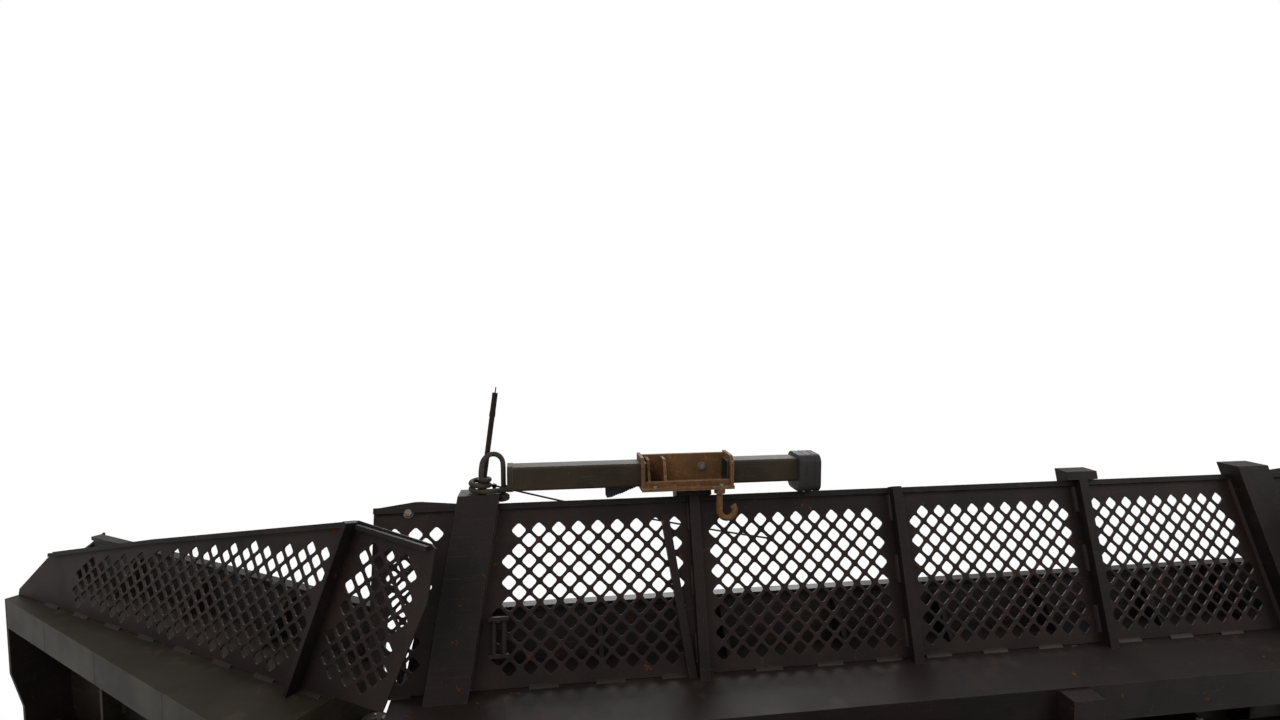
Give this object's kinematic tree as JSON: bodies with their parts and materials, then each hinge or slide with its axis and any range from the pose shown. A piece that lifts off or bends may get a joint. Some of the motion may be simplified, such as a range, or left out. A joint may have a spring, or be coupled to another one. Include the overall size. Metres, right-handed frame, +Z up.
{
  "type": "front snow blade of a slope groomer, with folding wings and perforated guards",
  "caption": "Front blade of a slope groomer with folding wings, perforated guards and a lift, angle and tilt carrier.",
  "frame": {"origin": "middle of the mounting plate's rear face, at its bolt pattern's centre", "axes": "+Y forwards in the working direction, +X to the right, +Z up"},
  "size_m": [5.178, 1.9046, 1.5747],
  "materials": {
    "dark_steel": "satin",
    "brown_steel": "satin",
    "olive_tube": "satin",
    "rusty_steel": "matte",
    "edge_steel": "satin",
    "chrome_rod": "polished",
    "black_barrel": "gloss",
    "black_rubber": "matte"
  },
  "bodies": {
    "root": {"mounting_plate": "dark_steel"},
    "lift_frame": {"lift_frame": "dark_steel"},
    "swing_head": {"swing_head": "brown_steel"},
    "blade": {"centre_mouldboard": "dark_steel", "centre_edge": "edge_steel", "centre_frame": "dark_steel", "centre_guard": "brown_steel", "guard_posts": "dark_steel", "wing_pins": "brown_steel", "cross_beam": "olive_tube", "saddle_bracket": "rusty_steel", "tow_hook": "rusty_steel", "marker_rod": "rusty_steel", "hose_loops": "black_rubber", "tie_wire": "brown_steel", "rubber_flap": "black_rubber"},
    "wing_left": {"wing_mouldboard_left": "dark_steel", "wing_edge_left": "edge_steel", "wing_frame_left": "dark_steel", "wing_guard_left": "brown_steel", "wing_stiffener_left": "dark_steel", "wing_end_plate_left": "dark_steel"},
    "lift_barrel_left": {"lift_barrel_left": "black_barrel"},
    "lift_rod_left": {"lift_rod_left": "chrome_rod"},
    "angle_barrel_left": {"angle_barrel_left": "black_barrel"},
    "angle_rod_left": {"angle_rod_left": "chrome_rod"},
    "wing_barrel_left": {"wing_barrel_left": "black_barrel"},
    "wing_rod_left": {"wing_rod_left": "chrome_rod"},
    "wing_right": {"wing_mouldboard_right": "dark_steel", "wing_edge_right": "edge_steel", "wing_frame_right": "dark_steel", "wing_guard_right": "brown_steel", "wing_stiffener_right": "dark_steel", "wing_end_plate_right": "dark_steel"},
    "lift_barrel_right": {"lift_barrel_right": "black_barrel"},
    "lift_rod_right": {"lift_rod_right": "chrome_rod"},
    "angle_barrel_right": {"angle_barrel_right": "black_barrel"},
    "angle_rod_right": {"angle_rod_right": "chrome_rod"},
    "wing_barrel_right": {"wing_barrel_right": "black_barrel"},
    "wing_rod_right": {"wing_rod_right": "chrome_rod"},
    "tilt_barrel": {"tilt_barrel": "black_barrel"},
    "tilt_rod": {"tilt_rod": "chrome_rod"}
  },
  "joints": [
    {"name": "lift", "type": "hinge", "parent": "root", "child": "lift_frame", "pos_m": [0, 0.11, -0.15], "axis": [1, 0, 0], "range_deg": [-10, 22]},
    {"name": "angle", "type": "hinge", "parent": "lift_frame", "child": "swing_head", "pos_m": [0, 0.6, -0.15], "axis": [0, 0, 1], "range_deg": [-20, 20]},
    {"name": "tilt", "type": "hinge", "parent": "swing_head", "child": "blade", "pos_m": [0, 0.716, -0.15], "axis": [0, 1, 0], "range_deg": [-8, 8]},
    {"name": "wing_left", "type": "hinge", "parent": "blade", "child": "wing_left", "pos_m": [-1.345, 0.945, 0], "axis": [0, 0, -1], "range_deg": [-30, 28]},
    {"name": "wing_right", "type": "hinge", "parent": "blade", "child": "wing_right", "pos_m": [1.345, 0.945, 0], "axis": [0, 0, 1], "range_deg": [-30, 28]},
    {"name": "lift_barrel_left_swing", "type": "hinge", "parent": "root", "child": "lift_barrel_left", "pos_m": [-0.33, 0.095, 0.215], "axis": [1, 0, 0], "range_deg": [-4.83, 10.63]},
    {"name": "lift_rod_left_slide", "type": "slide", "parent": "lift_barrel_left", "child": "lift_rod_left", "axis": [0, 0.8122, -0.5834], "range_m": [-0.11434, 0.05197]},
    {"name": "lift_barrel_right_swing", "type": "hinge", "parent": "root", "child": "lift_barrel_right", "pos_m": [0.33, 0.095, 0.215], "axis": [1, 0, 0], "range_deg": [-4.83, 10.63]},
    {"name": "lift_rod_right_slide", "type": "slide", "parent": "lift_barrel_right", "child": "lift_rod_right", "axis": [0, 0.8122, -0.5834], "range_m": [-0.11434, 0.05197]},
    {"name": "angle_barrel_left_swing", "type": "hinge", "parent": "lift_frame", "child": "angle_barrel_left", "pos_m": [-0.175, 0.225, -0.03], "axis": [0, 0, 1], "range_deg": [-2.92, 2.92]},
    {"name": "angle_rod_left_slide", "type": "slide", "parent": "angle_barrel_left", "child": "angle_rod_left", "axis": [-0.1624, 0.9867, 0], "range_m": [-0.08106, 0.08106]},
    {"name": "angle_barrel_right_swing", "type": "hinge", "parent": "lift_frame", "child": "angle_barrel_right", "pos_m": [0.175, 0.225, -0.03], "axis": [0, 0, 1], "range_deg": [-2.92, 2.92]},
    {"name": "angle_rod_right_slide", "type": "slide", "parent": "angle_barrel_right", "child": "angle_rod_right", "axis": [0.1624, 0.9867, 0], "range_m": [-0.08106, 0.08106]},
    {"name": "tilt_barrel_swing", "type": "hinge", "parent": "swing_head", "child": "tilt_barrel", "pos_m": [-0.15, 0.693, 0.06], "axis": [0, 1, 0], "range_deg": [-5.77, 5.77]},
    {"name": "tilt_rod_slide", "type": "slide", "parent": "tilt_barrel", "child": "tilt_rod", "axis": [0.9939, 0, 0.1104], "range_m": [-0.03145, 0.03145]},
    {"name": "wing_barrel_right_swing", "type": "hinge", "parent": "blade", "child": "wing_barrel_right", "pos_m": [0.8, 0.84, 0.06], "axis": [0, 0, 1], "range_deg": [-4.93, 4.61]},
    {"name": "wing_rod_right_slide", "type": "slide", "parent": "wing_barrel_right", "child": "wing_rod_right", "axis": [0.9998, 0.0201, 0], "range_m": [-0.04909, 0.04582]},
    {"name": "wing_barrel_left_swing", "type": "hinge", "parent": "blade", "child": "wing_barrel_left", "pos_m": [-0.8, 0.84, 0.06], "axis": [0, 0, -1], "range_deg": [-4.93, 4.61]},
    {"name": "wing_rod_left_slide", "type": "slide", "parent": "wing_barrel_left", "child": "wing_rod_left", "axis": [-0.9998, 0.0201, 0], "range_m": [-0.04909, 0.04582]}
  ],
  "couplings": [
    {"joint": "lift_barrel_left_swing", "follows": "lift", "ratio": 0.48307},
    {"joint": "lift_rod_left_slide", "follows": "lift", "m_per_rad": -0.29778},
    {"joint": "lift_barrel_right_swing", "follows": "lift", "ratio": 0.48307},
    {"joint": "lift_rod_right_slide", "follows": "lift", "m_per_rad": -0.29778},
    {"joint": "angle_barrel_left_swing", "follows": "angle", "ratio": 0.14608},
    {"joint": "angle_rod_left_slide", "follows": "angle", "m_per_rad": -0.23223},
    {"joint": "angle_barrel_right_swing", "follows": "angle", "ratio": 0.14608},
    {"joint": "angle_rod_right_slide", "follows": "angle", "m_per_rad": 0.23223},
    {"joint": "tilt_barrel_swing", "follows": "tilt", "ratio": 0.72176},
    {"joint": "tilt_rod_slide", "follows": "tilt", "m_per_rad": 0.22523},
    {"joint": "wing_barrel_right_swing", "follows": "wing_right", "ratio": 0.16447},
    {"joint": "wing_rod_right_slide", "follows": "wing_right", "m_per_rad": 0.093764},
    {"joint": "wing_barrel_left_swing", "follows": "wing_left", "ratio": 0.16447},
    {"joint": "wing_rod_left_slide", "follows": "wing_left", "m_per_rad": 0.093764}
  ]
}
